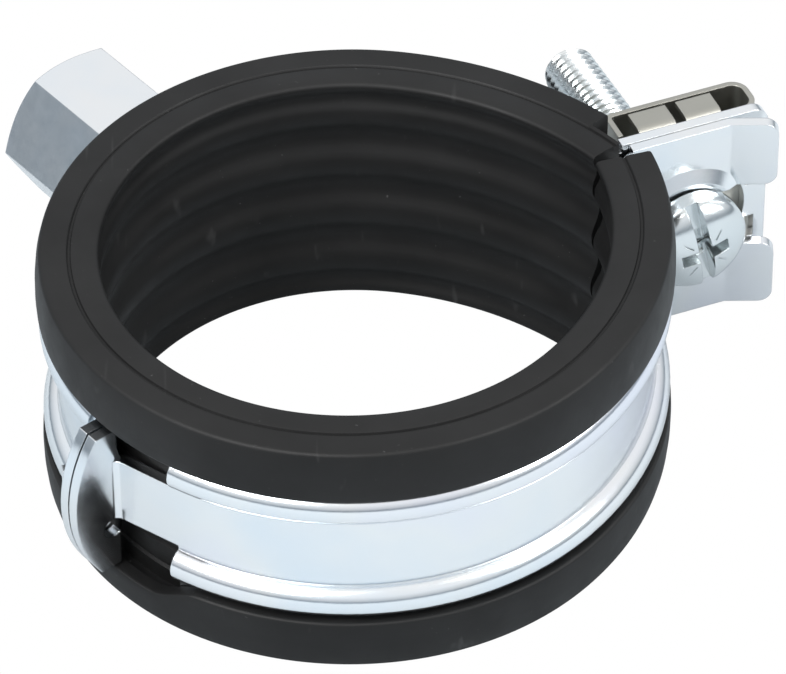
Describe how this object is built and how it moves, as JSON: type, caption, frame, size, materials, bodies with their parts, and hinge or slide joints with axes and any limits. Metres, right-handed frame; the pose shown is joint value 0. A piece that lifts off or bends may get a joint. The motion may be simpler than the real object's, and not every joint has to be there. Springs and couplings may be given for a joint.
{
  "type": "rubber lined pipe clamp",
  "caption": "Hinged steel pipe clamp with a black rubber liner, a side closing screw held by a spring clip, and a welded hex nut for hanging.",
  "frame": {"origin": "centre of the bore, on its axis at half the liner's height, clamp closed", "axes": "+Z along the bore axis, up when the clamp lies on its side; +X towards the closing ears; +Y away from the hinge side; the nut points to the back left and the hinge is at the front left"},
  "size_m": [0.0697, 0.0675, 0.0246],
  "materials": {
    "zinc_steel": "bright zinc plated, satin",
    "screw_steel": "zinc plated, semi gloss",
    "spring_steel": "grey olive coated spring steel",
    "liner_rubber": "matte extruded EPDM"
  },
  "bodies": {
    "fixed_half": {"fixed_half_band": "zinc_steel", "fixed_half_liner": "liner_rubber", "connection_nut": "zinc_steel", "spring_clip": "spring_steel"},
    "hinged_half": {"hinged_half_band": "zinc_steel", "hinged_half_liner": "liner_rubber"},
    "closing_screw": {"closing_screw": "screw_steel"}
  },
  "joints": [
    {"name": "half_swing", "type": "hinge", "parent": "fixed_half", "child": "hinged_half", "pos_m": [-0.02413, -0.01954, 0], "axis": [0, 0, -1], "range_deg": [0, 60]},
    {"name": "screw_turn", "type": "hinge", "parent": "fixed_half", "child": "closing_screw", "pos_m": [0.03037, 0.01559, 0], "axis": [0.4067, -0.9135, 0], "continuous": true}
  ]
}
